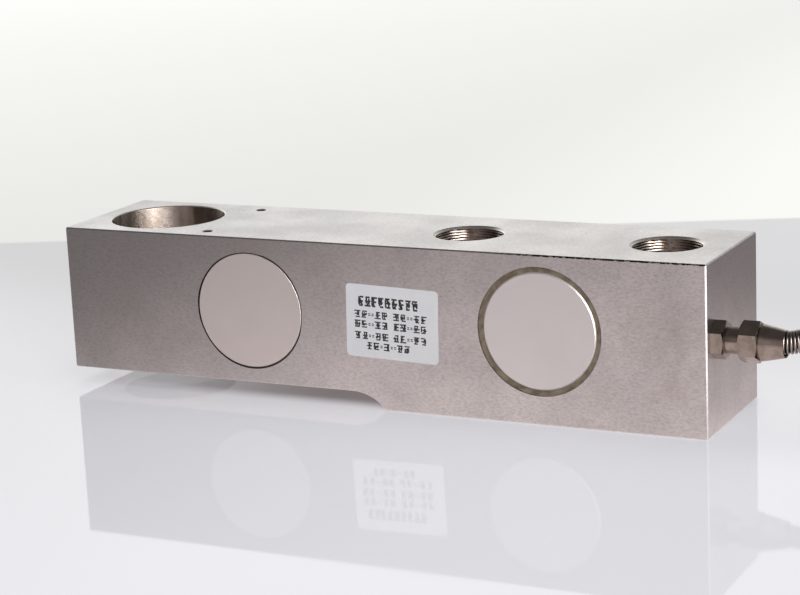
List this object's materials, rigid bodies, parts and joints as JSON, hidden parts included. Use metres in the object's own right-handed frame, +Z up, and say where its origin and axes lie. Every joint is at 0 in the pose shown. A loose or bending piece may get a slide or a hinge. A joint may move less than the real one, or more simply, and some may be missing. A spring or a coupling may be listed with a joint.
{
  "type": "shear beam load cell",
  "caption": "Shear beam load cell: a steel bar with a load bore at its free end, mounting holes, sealed gauge and wiring pockets, and a cable from a gland with a guard spring.",
  "frame": {"origin": "middle of the mounting pad's underside, halfway between the two mounting holes", "axes": "+X along the beam, from the load bore towards the cable gland; +Y from the front face, which has the covers and the label, to the rear face; +Z up along the load bore, away from the mounting surface"},
  "size_m": [0.4972, 0.08, 0.0667],
  "materials": {
    "beam_steel": "nickel-plated alloy steel, brushed along its length",
    "cover_steel": "fine matt steel",
    "sealant": "cured khaki sealant",
    "gauge_foil": "amber polyimide with metal foil",
    "coating": "soft moisture barrier",
    "terminal": "tinned copper pads",
    "wire": "thin insulated wire",
    "board_pad": "adhesive foam",
    "board": "glass-fibre circuit board",
    "solder": "solder",
    "resistor": "chip resistor",
    "compensator": "wound resistor, lacquered",
    "seal_rubber": "nitrile rubber",
    "gland_nickel": "bright nickel-plated brass",
    "washer_brass": "turned brass",
    "spring_steel": "drawn spring wire",
    "cable_jacket": "satin polyurethane jacket",
    "tie_nylon": "natural nylon",
    "heat_shrink": "shrunk sleeve",
    "core_red": "core insulation",
    "core_black": "core insulation",
    "core_green": "core insulation",
    "core_white": "core insulation",
    "core_shield": "sleeved shield wire",
    "label": "white polyester label"
  },
  "bodies": {
    "root": {"beam": "beam_steel", "front_gauge_cover": "cover_steel", "rear_gauge_cover": "cover_steel", "wiring_cover": "cover_steel", "front_gauge_sealant": "sealant", "rear_gauge_sealant": "sealant", "wiring_sealant": "sealant", "front_shear_gauge": "gauge_foil", "rear_shear_gauge": "gauge_foil", "front_gauge_coating": "coating", "rear_gauge_coating": "coating", "front_gauge_terminals": "terminal", "rear_gauge_terminals": "terminal", "rear_gauge_wires": "wire", "bridge_wires": "wire", "board_adhesive_pad": "board_pad", "compensation_board": "board", "board_solder_pins": "solder", "trim_resistors": "resistor", "temperature_compensator": "compensator", "inner_cores": "wire", "gland_o_ring": "seal_rubber", "gland_body": "gland_nickel", "gland_seal_bush": "seal_rubber", "gland_thrust_washer": "washer_brass", "gland_nut": "gland_nickel", "strain_relief_spring": "spring_steel", "cable_lead_in": "cable_jacket", "cable_ferrule": "washer_brass", "cable": "cable_jacket", "cable_tail": "cable_jacket", "cable_coil": "cable_jacket", "coil_tie_a": "tie_nylon", "coil_tie_b": "tie_nylon", "coil_tie_c": "tie_nylon", "end_sleeve": "heat_shrink", "core_red": "core_red", "core_black": "core_black", "core_green": "core_green", "core_white": "core_white", "core_shield": "core_shield", "wiring_label": "label"}
  },
  "joints": []
}
